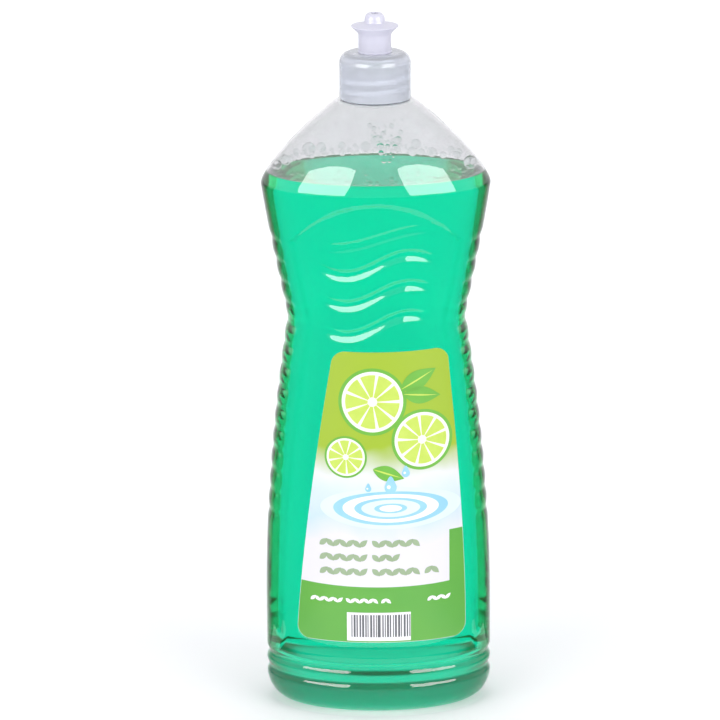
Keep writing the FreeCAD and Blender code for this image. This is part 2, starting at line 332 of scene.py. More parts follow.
def blow_moulded_pet():
    """Stretch-blown PET: clear, glossy, a little wavy. Above the soap the wall is tinted a mottled pale
    grey.
    """
    made, tree, shader, place = material("PET, stretch-blow moulded, clear")
    shader.inputs["IOR"].default_value = 1.52
    shader.inputs["Transmission Weight"].default_value = 1.0
    split = add(tree, "ShaderNodeSeparateXYZ", {}, {0: place})
    above = add(tree, "ShaderNodeMapRange", {"From Min": (FILL_Z - 1) * MM, "From Max": (FILL_Z + 2) * MM},
                {"Value": split.outputs[2]})
    # Above the fill the wall's colour blends to a mottled pale grey.
    cloud = add(tree, "ShaderNodeTexNoise", {"Scale": per_mm(7), "Detail": 4.0}, {"Vector": place})
    film = add(tree, "ShaderNodeMix", {"data_type": "RGBA", 6: linear("#E6E4E7"), 7: linear("#F1F0F2")},
               {0: cloud.outputs[0]})
    wall = add(tree, "ShaderNodeMix", {"data_type": "RGBA", 6: linear("#FDFCFD")},
               {0: above.outputs[0], 7: film.outputs[2]})
    tree.links.new(wall.outputs[2], shader.inputs["Base Color"])
    mottled(tree, place, 12, 0.01, 0.035, shader.inputs["Roughness"])
    rippled(tree, place, 16, 0.05, shader.inputs["Normal"])
    return made


def wetted_pet():
    """The same PET where soap wets it inside: so near the soap in index that the face hardly shines.

    The base is hardly stretched as it is blown, so it stays thick and hazy, and blurs what is behind."""
    made, tree, shader, place = material("PET, wetted by soap")
    shader.inputs["IOR"].default_value = 1.52
    shader.inputs["Transmission Weight"].default_value = 1.0
    shader.inputs["Specular Tint"].default_value = (0.03, 0.03, 0.03, 1.0)
    tinted(tree, place, 30, "#FAFAFA", "#FEFEFE", shader.inputs["Base Color"])
    split = add(tree, "ShaderNodeSeparateXYZ", {}, {0: place})
    haze = add(tree, "ShaderNodeMapRange",
               {"From Min": 12 * MM, "From Max": 19 * MM, "To Min": 0.5, "To Max": 0.01},
               {"Value": split.outputs[2]})
    tree.links.new(haze.outputs[0], shader.inputs["Roughness"])
    return made


def green_soap():
    """Dyed surfactant in water: its green is nearly as deep in a thin place as in a thick one."""
    made, tree, shader, place = material("Dish soap, dyed green, clear liquid")
    shader.inputs["IOR"].default_value = 1.36
    shader.inputs["Transmission Weight"].default_value = 1.0
    shader.inputs["Roughness"].default_value = 0.0
    shader.inputs["Specular Tint"].default_value = (0.2, 0.2, 0.2, 1.0)
    tinted(tree, place, 40, "#00DEAE", "#00E2B3", shader.inputs["Base Color"])
    depth = add(tree, "ShaderNodeVolumeAbsorption", {"Color": (0.0, 0.9975, 0.994, 1.0), "Density": 400.0})
    tree.links.new(depth.outputs[0], tree.nodes["Material Output"].inputs["Volume"])
    return made


def frosted_polypropylene():
    """Natural polypropylene, injection moulded: milky, lets the thread under it show as bands."""
    made, tree, shader, place = material("Polypropylene, natural, injection moulded")
    shader.inputs["IOR"].default_value = 1.49
    shader.inputs["Transmission Weight"].default_value = 0.55
    tinted(tree, place, 9, "#CBCED6", "#D6D9E1", shader.inputs["Base Color"])
    mottled(tree, place, 2, 0.11, 0.17, shader.inputs["Roughness"])
    rippled(tree, place, 5, 0.015, shader.inputs["Normal"])
    return made


def thick_polypropylene():
    """The same polypropylene where it is thick, as in the thread: whiter, since less light gets through."""
    made, tree, shader, place = material("Polypropylene, natural, thick section")
    shader.inputs["IOR"].default_value = 1.49
    tinted(tree, place, 9, "#E3E7EF", "#EDF0F6", shader.inputs["Base Color"])
    mottled(tree, place, 2, 0.25, 0.35, shader.inputs["Roughness"])
    return made


def white_polyethylene():
    """White high-density polyethylene, injection moulded: opaque and waxy, with a soft sheen."""
    made, tree, shader, place = material("HDPE, white, injection moulded")
    shader.inputs["IOR"].default_value = 1.54
    shader.inputs["Subsurface Weight"].default_value = 0.2
    shader.inputs["Subsurface Radius"].default_value = (0.0015, 0.0014, 0.0016)
    tinted(tree, place, 6, "#C5C4D4", "#CDCCDA", shader.inputs["Base Color"])
    mottled(tree, place, 1.5, 0.28, 0.4, shader.inputs["Roughness"])
    rippled(tree, place, 2, 0.008, shader.inputs["Normal"])
    return made


def foamed_polyethylene():
    """Foamed polyethylene sheet, die cut: matt, with pores of about a third of a millimetre."""
    made, tree, shader, place = material("Polyethylene foam, die cut")
    tinted(tree, place, 2, "#DDDEE2", "#EDEEF0", shader.inputs["Base Color"])
    mottled(tree, place, 1, 0.6, 0.8, shader.inputs["Roughness"])
    rippled(tree, place, 0.35, 0.05, shader.inputs["Normal"])
    return made


LABEL_CLOUD_RISE, RAMP_TOP_Z = 16, 200
LABEL_FADE = ((86, "#E0DEE5"), (96, "#C2D8EC"), (106, "#D0DEEA"), (113, "#DFE1E4"), (126, "#9DB92C"))


def label_film():
    """White polypropylene film with a varnished print: white below, fading to yellow green at the top."""
    made, tree, shader, place = material("Polypropylene film, printed and varnished")
    shader.inputs["Coat Weight"].default_value = 0.25
    shader.inputs["Coat Roughness"].default_value = 0.12
    split = add(tree, "ShaderNodeSeparateXYZ", {}, {0: place})
    cloud = add(tree, "ShaderNodeTexNoise", {"Scale": per_mm(22), "Detail": 2.0}, {"Vector": place})
    lift = add(tree, "ShaderNodeMath", {"operation": "MULTIPLY_ADD", 1: LABEL_CLOUD_RISE * MM},
               {0: cloud.outputs[0], 2: split.outputs[2]})
    share = add(tree, "ShaderNodeMapRange", {"From Min": 0.0, "From Max": RAMP_TOP_Z * MM},
                {"Value": lift.outputs[0]})
    ramp = add(tree, "ShaderNodeValToRGB", {}, {0: share.outputs[0]})
    stops = ramp.color_ramp.elements
    for height, colour in LABEL_FADE:
        stop = stops.new(height / RAMP_TOP_Z)
        stop.color = linear(colour)
    stops.remove(stops[0])
    stops.remove(stops[-1])
    tree.links.new(ramp.outputs[0], shader.inputs["Base Color"])
    mottled(tree, place, 3, 0.3, 0.4, shader.inputs["Roughness"])
    return made


def ink(name, colour_a, colour_b, size=8):
    """Gravure ink under the film's varnish, a little uneven in strength as print is."""
    made, tree, shader, place = material(name)
    shader.inputs["Coat Weight"].default_value = 0.25
    shader.inputs["Coat Roughness"].default_value = 0.12
    tinted(tree, place, size, colour_a, colour_b, shader.inputs["Base Color"])
    mottled(tree, place, 3, 0.3, 0.4, shader.inputs["Roughness"])
    return made


def soap_film():
    """Film of soap and water, too thin to look green.

    A bubble is filled, and its low index gives it the faint edge of a film."""
    made, tree, shader, place = material("Dish soap, bubble film")
    shader.inputs["IOR"].default_value = 1.06
    shader.inputs["Transmission Weight"].default_value = 1.0
    tinted(tree, place, 3, "#F1F5F4", "#FBFDFC", shader.inputs["Base Color"])
    mottled(tree, place, 2, 0.0, 0.03, shader.inputs["Roughness"])
    return made


PET = blow_moulded_pet()
WETTED_PET = wetted_pet()
SOAP = green_soap()
SOAP_FILM = soap_film()
FROSTED = frosted_polypropylene()
THICK_FROSTED = thick_polypropylene()
WHITE = white_polyethylene()
FOAM = foamed_polyethylene()
FILM = label_film()
INK_RIM = ink("Gravure ink, leaf green", "#66AC38", "#72B845")
INK_BAND = ink("Gravure ink, grass green", "#52A140", "#68AE3E", 30)
INK_LIME = ink("Gravure ink, lime", "#B8D24A", "#C8DC66", 4)
INK_PITH = ink("Gravure ink, pale cream", "#ECEEDF", "#F3F3EA")
INK_BLUE = ink("Gravure ink, water blue", "#82C2F0", "#A4D4F6", 10)
INK_PALE_BLUE = ink("Gravure ink, pale blue", "#CFE4F4", "#DDEBF6", 10)
INK_GREY = ink("Gravure ink, grey green", "#93A986", "#A0B492")
INK_WHITE = ink("Gravure ink, opaque white", "#EDEBF1", "#F6F5F8")
INK_DARK = ink("Gravure ink, dark grey", "#55575C", "#6A6C72")


# Bottle and soap.

COLUMNS, FOOT_STEPS = 224, 20


def body_heights(fine):
    """Heights of the body's rings, closer together where the mould has its finest detail."""
    bands = ((FOOT_HEIGHT, 30, 1.0), (30, 80, 2.5), (80, 160, 0.9), (160, 214, 0.6), (214, 230, 1.2),
             (230, SHOULDER_TOP_Z - SHOULDER_EDGE, 1.6))
    heights = [np.arange(low, high, step * (1 if fine else 2)) for low, high, step in bands]
    return np.concatenate(heights)


def foot_rings(inset):
    """Rings from the middle of the shallow push-up out to the top of the rounded foot."""
    flat_across, flat_through = BASE_HALF_WIDTH - FOOT_INSET, BASE_HALF_DEPTH - FOOT_INSET
    rings = []
    for share in np.linspace(0.04, 1, 16):
        z = inset + PUSH_UP_HEIGHT * (0.5 + 0.5 * math.cos(math.pi * share))
        across, through = flat_across - PUSH_UP_EDGE, flat_through - PUSH_UP_EDGE
        rings.append(plain_ring(across * share, through * share, z, COLUMNS))
    rings.append(plain_ring(flat_across, flat_through, inset, COLUMNS))
    for i in range(1, FOOT_STEPS):
        turn = math.pi / 2 * i / FOOT_STEPS
        out = (FOOT_INSET - inset) * math.sin(turn)
        z = FOOT_HEIGHT - (FOOT_HEIGHT - inset) * math.cos(turn)
        rings.append(ring(flat_across + out, flat_through + out, z, COLUMNS))
    return rings


def body_rings(inset, heights):
    """Rings of the body, with the wall's thickness taken off by inset."""
    rings = []
    for z in heights:
        rings.append(ring(drawn_in(half_width, z, inset), drawn_in(half_depth, z, inset), z, COLUMNS))
    return rings


def shoulder_rim(inset):
    """Rings over the rounded edge at the top of the shoulder and in to the neck."""
    start_z = SHOULDER_TOP_Z - SHOULDER_EDGE
    across, through = drawn_in(half_width, start_z, inset), drawn_in(half_depth, start_z, inset)
    top_z, edge = SHOULDER_TOP_Z - inset, SHOULDER_TOP_RADIUS - inset
    rings = []
    for t in (0.25, 0.5, 0.75, 1):
        keep, bend, end = (1 - t) ** 2, 2 * t * (1 - t), t * t
        z = keep * (start_z - inset) + (bend + end) * top_z
        inner = bend * edge + end * (edge - SHOULDER_EDGE_REACH)
        rings.append(plain_ring(keep * across + inner, keep * through + inner, z, COLUMNS))
    return rings


CORE_LOW_Z, CORE_HIGH_Z = 20, 210


def bottle_piece():
    """The bottle as one closed skin: out round the foot and body, up the neck, and back down inside."""
    neck = [(NECK_RADIUS + 0.8, SHOULDER_TOP_Z), (NECK_RADIUS + 0.2, SHOULDER_TOP_Z + 0.25)]
    neck += [(NECK_RADIUS, SHOULDER_TOP_Z + 0.9), (NECK_RADIUS, LIP_Z - 0.4)]
    neck += [(NECK_RADIUS - 0.15, LIP_Z - 0.1), (NECK_RADIUS - 0.4, LIP_Z)]
    neck += [(NECK_BORE + 0.3, LIP_Z), (NECK_BORE, LIP_Z - 0.3)]
    neck += [(NECK_BORE, SHOULDER_TOP_Z + 0.4), (NECK_BORE + 0.3, SHOULDER_TOP_Z - WALL)]
    outside = foot_rings(0) + body_rings(0, body_heights(True)) + shoulder_rim(0)
    inside = foot_rings(WALL) + body_rings(WALL, body_heights(False)) + shoulder_rim(WALL)
    rings = outside + [plain_ring(radius, radius, z, COLUMNS) for radius, z in neck] + inside[::-1]
    made = piece("bottle_skin", *stitched(rings), PET, "bottle", "clear_plastic", "bottle", 50)
    made.data.materials.append(WETTED_PET)
    # A face below the fill that looks in towards the bottle's core is wetted.
    for face in made.data.polygons:
        middle = face.center
        axis = Vector((0, 0, min(max(middle.z, CORE_LOW_Z * MM), CORE_HIGH_Z * MM)))
        if middle.z < FILL_Z * MM and face.normal.dot(axis - middle) > 0:
            face.material_index = 1
    return made


SOAP_OVERLAP, MENISCUS_RISE, MENISCUS_REACH = 0.12, 0.12, 1.0


def soap_piece():
    """The soap reaches a little into the wall, so no film of air shows, and creeps up at its rim."""
    inset = WALL - SOAP_OVERLAP
    heights = body_heights(False)
    heights = heights[heights < FILL_Z + MENISCUS_RISE - 0.6]
    rim_z = FILL_Z + MENISCUS_RISE
    across, through = drawn_in(half_width, rim_z, inset), drawn_in(half_depth, rim_z, inset)
    rings = foot_rings(inset) + body_rings(inset, heights) + [ring(across, through, rim_z, COLUMNS)]
    for share in (0.15, 0.35, 0.6, 1):
        in_by = MENISCUS_REACH * share
        z = FILL_Z + MENISCUS_RISE * (1 - share) ** 2
        rings.append(plain_ring(across - 0.3 - in_by, through - 0.3 - in_by, z, COLUMNS))
    for share in (0.66, 0.33, 0.05):
        rings.append(plain_ring(across * share, through * share, FILL_Z, COLUMNS))
    return piece("soap_body", *stitched(rings), SOAP, "bottle", "green_soap", "dish_soap", 50)


THREAD_PITCH, THREAD_STEPS, THREAD_RUN_OUT = 4.233, 72, 8
THREAD_ROOT_SHARE, THREAD_CREST_SHARE = 0.5, 0.22


def thread(start_z, turns, root, crest, thickness, phase):
    """A thread ridge: a tapered section swept up a helix, running out to nothing at both ends."""
    count = int(turns * THREAD_STEPS)
    points, faces = [], []
    for i in range(count + 1):
        turn = 2 * math.pi * i / THREAD_STEPS + phase
        ends = min(1, i / THREAD_RUN_OUT, (count - i) / THREAD_RUN_OUT)
        height = root + (crest - root) * ends
        middle = start_z + THREAD_PITCH * i / THREAD_STEPS
        for radius, z in ((root, -THREAD_ROOT_SHARE), (height, -THREAD_CREST_SHARE),
                          (height, THREAD_CREST_SHARE), (root, THREAD_ROOT_SHARE)):
            points.append((radius * math.cos(turn), radius * math.sin(turn), middle + z * thickness))
    for i in range(count):
        for j in range(4):
            k = (j + 1) % 4
            faces.append((4 * i + j, 4 * i + k, 4 * i + 4 + k, 4 * i + 4 + j))
    faces += [(0, 1, 2, 3), tuple(4 * count + j for j in (3, 2, 1, 0))]
    return points, faces


bottle = bottle_piece()
soap_piece()
neck_ridge = thread(264.6, 2.0, NECK_RADIUS - 0.15, NECK_RADIUS + 1.05, 2.2, 0.4)
piece("neck_thread", *neck_ridge, PET, "bottle", "clear_plastic")


# Label.


def label_edges(z):
    """Left and right edge of the label at height z, with its rounded corners."""
    z = np.asarray(z, float)
    share = (z - LABEL_BOTTOM_Z) / (LABEL_TOP_Z - LABEL_BOTTOM_Z)
    rise = np.clip(share, 0, 1)
    half = LABEL_BOTTOM_HALF_WIDTH + (LABEL_TOP_HALF_WIDTH - LABEL_BOTTOM_HALF_WIDTH) * rise ** LABEL_TAPER
    for corner, edge in ((LABEL_BOTTOM_CORNER, z - LABEL_BOTTOM_Z), (LABEL_TOP_CORNER, LABEL_TOP_Z - z)):
        near = np.clip(corner - edge, 0, corner)
        half = half - (corner - np.sqrt(corner ** 2 - near ** 2))
    middle = LABEL_CENTRE_X + LABEL_LEAN * rise
    return middle - half, middle + half


def sheet(points, rows, columns):
    """Points and faces of a grid of places on a surface."""
    faces = []
    for i in range(rows - 1):
        for j in range(columns - 1):
            a = i * columns + j
            faces.append((a, a + 1, a + columns + 1, a + columns))
    return list(points.reshape(-1, 3)), faces


def label_piece():
    """The label film, with its back on the glue, its front and its cut edge, closer rows at its corners."""
    rows, columns = 150, 90
    share = 0.5 - 0.5 * np.cos(np.linspace(0, math.pi, rows))
    z = LABEL_BOTTOM_Z + (LABEL_TOP_Z - LABEL_BOTTOM_Z) * share
    left, right = label_edges(z)
    across = np.linspace(0, 1, columns)[None, :]
    x = left[:, None] + (right - left)[:, None] * across
    z = np.broadcast_to(z[:, None], x.shape)
    back, faces = sheet(on_skin(x, z, LABEL_GLUE), rows, columns)
    front = list(on_skin(x, z, LABEL_GLUE + LABEL_THICKNESS).reshape(-1, 3))
    count = len(back)
    outline = [j for j in range(columns)]
    outline += [i * columns + columns - 1 for i in range(1, rows)]
    outline += [(rows - 1) * columns + j for j in range(columns - 2, -1, -1)]
    outline += [i * columns for i in range(rows - 2, 0, -1)]
    sides = [(a, b, b + count, a + count) for a, b in zip(outline, outline[1:] + outline[:1])]
    faces = faces + [tuple(i + count for i in face) for face in faces] + sides
    return piece("front_label_film", back + front, faces, FILM, "bottle", "label_film", "front_label")


def printed(name, shapes, rows, columns, layer, colour):
    """Printed fields: each shape(u, v) gives its places on the label, which they follow and never leave."""
    u, v = np.meshgrid(np.linspace(0, 1, columns), np.linspace(0, 1, rows))
    lots = []
    for shape in shapes:
        x, z = shape(u, v)
        z = np.clip(z, LABEL_BOTTOM_Z + 0.15, LABEL_TOP_Z - 0.15)
        left, right = label_edges(z)
        x = np.clip(x, left + 0.12, right - 0.12)
        points, faces = sheet(on_skin(x, z, LABEL_GLUE + LABEL_THICKNESS + INK * layer), rows, columns)
        rising = (x[1:, 1:] - x[:-1, :-1]) * (z[1:, :-1] - z[:-1, 1:])
        falling = (z[1:, 1:] - z[:-1, :-1]) * (x[1:, :-1] - x[:-1, 1:])
        if (rising - falling).sum() < 0:
            faces = [face[::-1] for face in faces]
        lots.append((points, faces))
    return piece(name, *joined(*lots), colour, "bottle", "label_film", None, 80, False)


def disc(x, z, inner, outer, start=0.0, end=360.0, flat=1.0):
    """Ring or sector about a middle, squeezed upright by flat."""
    def shape(u, v):
        turn = np.radians(start + (end - start) * u)
        radius = inner + (outer - inner) * v
        return x + radius * np.cos(turn), z + flat * radius * np.sin(turn)
    return shape


def field(x_low, x_high, bottom, top):
    """Field between two edges that are given as heights over x."""
    def shape(u, v):
        x = x_low + (x_high - x_low) * u
        return x, bottom(x) + (top(x) - bottom(x)) * v
    return shape


def leaf(x, z, length, width, lean):
    """Pointed leaf from its stalk, leaning by degrees from straight right."""
    def shape(u, v):
        along = length * u
        aside = width * np.sin(math.pi * u ** 0.85) * (v - 0.5)
        cos, sin = math.cos(math.radians(lean)), math.sin(math.radians(lean))
        return x + along * cos - aside * sin, z + along * sin + aside * cos
    return shape


def drop(x, z, size):
    """Falling drop, round below and drawn to a point above."""
    def shape(u, v):
        turn = 2 * math.pi * u
        radius = size * v
        point = 0.9 * size * v * np.maximum(0, np.sin(turn)) ** 5
        return x + radius * np.cos(turn), z + radius * np.sin(turn) + point
    return shape


def level(height):
    """Straight edge for field()."""
    return lambda x: np.full_like(x, height)


def lime_slice(number, x, z, radius, first):
    """Cut fruit: a green rind, pale pith and a wheel of segments."""
    name = "lime_%d" % number
    printed(name + "_rind", [disc(x, z, 0, radius)], 12, 97, first, INK_RIM)
    printed(name + "_pith", [disc(x, z, 0, radius * 0.9)], 12, 97, first + 1, INK_PITH)
    wedge = 360 / LIME_SEGMENTS
    turns = [wedge * i + 17 * number for i in range(LIME_SEGMENTS)]
    wedges = [disc(x, z, radius * 0.14, radius * 0.8, turn + 3.5, turn + wedge - 3.5) for turn in turns]
    printed(name + "_segments", wedges, 12, 12, first + 2, INK_LIME)


def leaf_row(name, x_low, x_high, z, length, width, layer, colour):
    """Garland of small leaves that lean up and down by turns, with a gap after every few of them."""
    shapes, x, i = [], x_low, 0
    while x < x_high:
        shapes.append(leaf(x, z - 0.3 * length * (-1) ** i, length, width, 42 * (-1) ** i))
        x += length * (1.15 if i % 7 == 6 else 0.62)
        i += 1
    printed(name, shapes, 5, 12, layer, colour)


LIME_SEGMENTS = 9
LIMES = ((-2, 138, 14.5), (19, 121, 13.0), (-13.5, 114, 9.0))
LEAVES = ((10, 143, 17, 8, 28), (11, 141, 16, 7.5, -6), (-2, 109, 14, 6.5, -18))
RIPPLES = ((30, INK_PALE_BLUE), (24.5, INK_BLUE), (20.5, INK_WHITE), (15.5, INK_BLUE),
           (12.5, INK_PALE_BLUE), (7, INK_BLUE), (4.8, INK_WHITE))
RIPPLE_X, RIPPLE_Z, RIPPLE_FLAT = 5.5, 92, 0.3
DROPS = ((5.5, 101, 2.6), (12, 107, 1.7), (-4, 100.5, 1.3))
FIELD_TOP_Z, FIELD_BOW, SIDE_FIELD_X, SIDE_FIELD_TOP_Z = 57.6, 0.0009, 30.5, 80.6
GARLANDS = ((18, 76.6), (8, 70.4), (25, 64.2))
LOWER_GARLAND_Z = 51.6
BARS_LEFT_X, BARS_LOW_Z, BARS_TOP_Z = -11.6, 35.6, 45.4
BAR_COUNT, BAR_WIDTHS, BAR_GAPS = 22, (0.45, 0.85, 0.6), (0.5, 0.35, 0.7, 0.45)


def print_label():
    """Lime slices over rings of water, garlands where a label has its words, and a block of plain bars."""
    def bowed(x):
        return FIELD_TOP_Z + FIELD_BOW * (x - 2) ** 2

    printed("lower_field", [field(-36, 38, level(LABEL_BOTTOM_Z), bowed)], 40, 120, 1, INK_BAND)
    side = field(SIDE_FIELD_X, 38, level(FIELD_TOP_Z), level(SIDE_FIELD_TOP_Z))
    printed("side_field", [side], 40, 16, 2, INK_BAND)
    for i, (x, z, radius) in enumerate(LIMES):
        lime_slice(i, x, z, radius, 1 + 3 * i)
    printed("leaves", [leaf(*place) for place in LEAVES], 12, 30, 10, INK_RIM)
    veins = [leaf(x, z, length * 0.92, 0.7, lean) for x, z, length, _, lean in LEAVES]
    printed("leaf_veins", veins, 3, 30, 11, INK_LIME)
    for i, (radius, colour) in enumerate(RIPPLES):
        ring_of_water = disc(RIPPLE_X, RIPPLE_Z, 0, radius, flat=RIPPLE_FLAT)
        printed("ripple_%d" % i, [ring_of_water], 25, 97, 2 + i, colour)
    printed("drops", [drop(*place) for place in DROPS], 8, 40, 12, INK_BLUE)
    glints = [disc(x - size * 0.3, z + size * 0.1, 0, size * 0.3) for x, z, size in DROPS]
    printed("drop_glints", glints, 4, 20, 13, INK_WHITE)
    for i, (x_high, z) in enumerate(GARLANDS):
        leaf_row("garland_%d" % i, -25, x_high, z, 4.6, 2.4, 3, INK_GREY)
    leaf_row("lower_garland", -29, 4, LOWER_GARLAND_Z, 3.1, 1.5, 3, INK_WHITE)
    leaf_row("lower_garland_end", 21, 30, LOWER_GARLAND_Z, 3.1, 1.5, 3, INK_WHITE)
    printed("bars_ground", [field(-13.5, 13.8, level(33.9), level(46.4))], 20, 40, 3, INK_WHITE)
    bars, place = [], BARS_LEFT_X
    for i in range(BAR_COUNT):
        width = BAR_WIDTHS[i % 3] * (1.5 if i % 7 == 3 else 1)
        bars.append(field(place, place + width, level(BARS_LOW_Z), level(BARS_TOP_Z)))
        place += width + BAR_GAPS[i % 4]
    printed("bars", bars, 12, 3, 4, INK_DARK)


label_piece()
print_label()


# Cap, its liner and the spout. The outlines repeat the solids' sizes with their edges rounded.

CAP_WALL, CAP_CORNER, CAP_SEAT_Z, SEAT_RADIUS = 1.1, 4.6, 278.1, 12.65
CHIMNEY_RADIUS, CHIMNEY_BORE, CHIMNEY_TOP_Z = 4.6, 3.4, 288.85
BEAD_RADIUS, BEAD_Z = 5.2, 287.65
PIN_RADIUS, RIB_HEIGHT, RIB_THICKNESS, RIB_COUNT = 1.6, 3.0, 1.0, 3


def cap_shell():
    """The cap, with its seat for the liner, and the chimney the spout slides on."""
    bore = CAP_RADIUS - CAP_WALL
    corner_radius, corner_z = CAP_RADIUS - CAP_CORNER, CAP_TOP_Z - CAP_CORNER
    outline = [(bore, CAP_BOTTOM_Z + 0.2), (bore + 0.2, CAP_BOTTOM_Z), (CAP_RADIUS - 0.3, CAP_BOTTOM_Z)]
    outline += [(CAP_RADIUS - 0.05, CAP_BOTTOM_Z + 0.2), (CAP_RADIUS, CAP_BOTTOM_Z + 0.5)]
    outline += arc(corner_radius, corner_z, CAP_CORNER, 0, 90, 14)
    outline += [(CHIMNEY_RADIUS + 0.3, CAP_TOP_Z), (CHIMNEY_RADIUS, CAP_TOP_Z + 0.3)]
    outline += [(CHIMNEY_RADIUS, BEAD_Z - 0.05), (BEAD_RADIUS - 0.1, BEAD_Z), (BEAD_RADIUS, BEAD_Z + 0.15)]
    outline += [(BEAD_RADIUS, CHIMNEY_TOP_Z - 0.5), (BEAD_RADIUS - 0.4, CHIMNEY_TOP_Z)]
    outline += [(CHIMNEY_BORE, CHIMNEY_TOP_Z), (CHIMNEY_BORE, CAP_INNER_TOP_Z)]
    outline += [(SEAT_RADIUS, CAP_INNER_TOP_Z), (SEAT_RADIUS, CAP_SEAT_Z), (bore, CAP_SEAT_Z)]
    made = piece("cap_shell", *turned(outline), FROSTED, "cap", "frosted_plastic", "screw_cap")
    made.visible_shadow = False


def cap_plug():
    """Pin in the chimney that closes the spout's orifice, held by ribs."""
    low = CHIMNEY_TOP_Z - RIB_HEIGHT
    pin = [(0.02, low), (PIN_RADIUS - 0.2, low), (PIN_RADIUS, low + 0.2), (PIN_RADIUS, PIN_TOP_Z - 0.5)]
    pin += [(PIN_RADIUS - 0.4, PIN_TOP_Z), (0.02, PIN_TOP_Z)]
    lots = [turned(pin, 48)]
    inner, outer = PIN_RADIUS - 0.2, CHIMNEY_BORE + 0.2
    for i in range(RIB_COUNT):
        turn = Matrix.Rotation(2 * math.pi * i / RIB_COUNT, 3, "Z")
        corners = [(r, side * RIB_THICKNESS / 2, z) for z in (low, CHIMNEY_TOP_Z - 0.1)
                   for r, side in ((inner, -1), (outer, -1), (outer, 1), (inner, 1))]
        points = [tuple(turn @ Vector(corner)) for corner in corners]
        faces = [(0, 1, 2, 3), (4, 5, 6, 7), (0, 1, 5, 4), (1, 2, 6, 5), (2, 3, 7, 6), (3, 0, 4, 7)]
        lots.append((points, faces))
    return piece("cap_plug", *joined(*lots), FROSTED, "cap", "frosted_plastic")


def spout_piece():
    """The spout, with its flange to pull it by, and its bore."""
    lip_bore, bore, orifice = CHIMNEY_RADIUS + 0.05, BEAD_RADIUS + 0.05, PIN_RADIUS + 0.05
    lip_top, flange_z, skirt = CAP_TOP_Z + 1.4, CAP_TOP_Z + 11.3, 6.87
    cone_z, tip_z, throat = flange_z - 3.4, flange_z + 1.6, 3.0
    outline = [(lip_bore, CAP_TOP_Z), (skirt + 0.2, CAP_TOP_Z), (skirt + 0.3, CAP_TOP_Z + 0.3)]
    outline += [(skirt, CAP_TOP_Z + 0.7), (skirt, cone_z - 0.8), (skirt + 0.12, cone_z - 0.2)]
    outline += [(skirt + 0.45, cone_z + 0.4), (FLANGE_RADIUS - 0.3, flange_z - 0.65)]
    outline += arc(FLANGE_RADIUS - 0.28, flange_z - 0.38, 0.28, -60, 80, 6)
    outline += [(7.6, flange_z + 0.3), (5.2, flange_z + 0.95), (4.55, flange_z + 1.2), (4.3, tip_z + 0.2)]
    dome = SPOUT_TOP_Z - tip_z - 0.2
    outline += [(2.4 + 1.9 * math.cos(t), tip_z + 0.2 + dome * math.sin(t))
                for t in (math.radians(d) for d in range(10, 91, 10))]
    outline += [(orifice + 0.15, SPOUT_TOP_Z), (orifice, SPOUT_TOP_Z - 0.15), (orifice, SPOUT_TOP_Z - 1.8)]
    outline += [(throat, SPOUT_TOP_Z - 1.8), (throat, flange_z), (bore, CHIMNEY_TOP_Z + 0.2)]
    outline += [(bore, lip_top), (lip_bore, lip_top)]
    return piece("spout_piece", *turned(outline), WHITE, "spout", "white_plastic", "pull_spout")


cap_shell()
cap_plug()
spout_piece()
cap_ridge = thread(265.4, 1.9, CAP_RADIUS - CAP_WALL + 0.15, NECK_RADIUS + 0.45, 1.9, 3.4)
piece("cap_thread", *cap_ridge, THICK_FROSTED, "cap", "frosted_plastic")
nodes["cap_liner"].data.materials.clear()
nodes["cap_liner"].data.materials.append(FOAM)


# Bubbles.


BUBBLE_RINGS, BUBBLE_COLUMNS = 10, 20


def bubble(x, y, z, radius):
    """Points and faces of a round bubble."""
    rings = []
    for i in range(1, BUBBLE_RINGS):
        turn = math.pi * i / BUBBLE_RINGS
        out = radius * math.sin(turn)
        rings.append(plain_ring(out, out, radius * math.cos(turn), BUBBLE_COLUMNS) + (x, y, z))
    return stitched(rings)


def against_wall(x, z, radius, side):
    """Middle of a bubble that touches the front or the back wall from inside, at x and z."""
    top_z = z + radius
    across, through = half_width(top_z) - WALL - radius, half_depth(top_z) - WALL - radius
    return x, float(side * through * np.sqrt(np.maximum(0, 1 - (x / across) ** 2))), z, radius


def froth(name, tries, pick):
    """Bubbles from a run of tries, each kept only if it stands clear of those before it."""
    kept = []
    for _ in range(tries):
        x, y, z, radius = pick()
        if all(math.dist((x, y, z), other[:3]) > radius + other[3] for other in kept):
            kept.append((x, y, z, radius))
    lots = joined(*[bubble(*place) for place in kept])
    made = piece(name, *lots, SOAP_FILM, "bottle", "green_soap", None, 80)
    made.visible_shadow = False


NEAR_RIM_BUBBLES, FAR_RIM_BUBBLES = (0.4, 0.6, 0.9), (0.6, 1.0, 1.5, 2.1, 2.9)
NECK_BUBBLES = (0.5, 0.8, 1.1, 1.6)
PATCH_X, PATCH_LOW_Z, PATCH_TOP_Z = 5, 240, 256


def fill_bubbles():
    """Froth left by filling: a line of bubbles round the soap's rim, and a patch under the neck."""
    chance = random.Random(7)

    def at_rim():
        side = chance.choice((-1, 1, 1))
        radius = chance.choice(NEAR_RIM_BUBBLES if side < 0 else FAR_RIM_BUBBLES)
        z = FILL_Z + radius + chance.random() ** 3 * 4
        x = half_width(z) * math.sin(chance.uniform(-1.2, 1.2)) - WALL
        return against_wall(float(x), z, radius, side)

    def under_neck():
        z = chance.uniform(PATCH_LOW_Z, PATCH_TOP_Z)
        x = PATCH_X + chance.uniform(-1, 1) * (1.5 + (z - PATCH_LOW_Z) * 0.5)
        return against_wall(x, z, chance.choice(NECK_BUBBLES), -1)

    froth("rim_bubbles", 420, at_rim)
    froth("neck_bubbles", 90, under_neck)


fill_bubbles()
# A clear wall throws hardly any shadow. The soap's is kept.
bottle.visible_shadow = False


# Stage: a pale floor, a bright room, two softboxes and the camera.


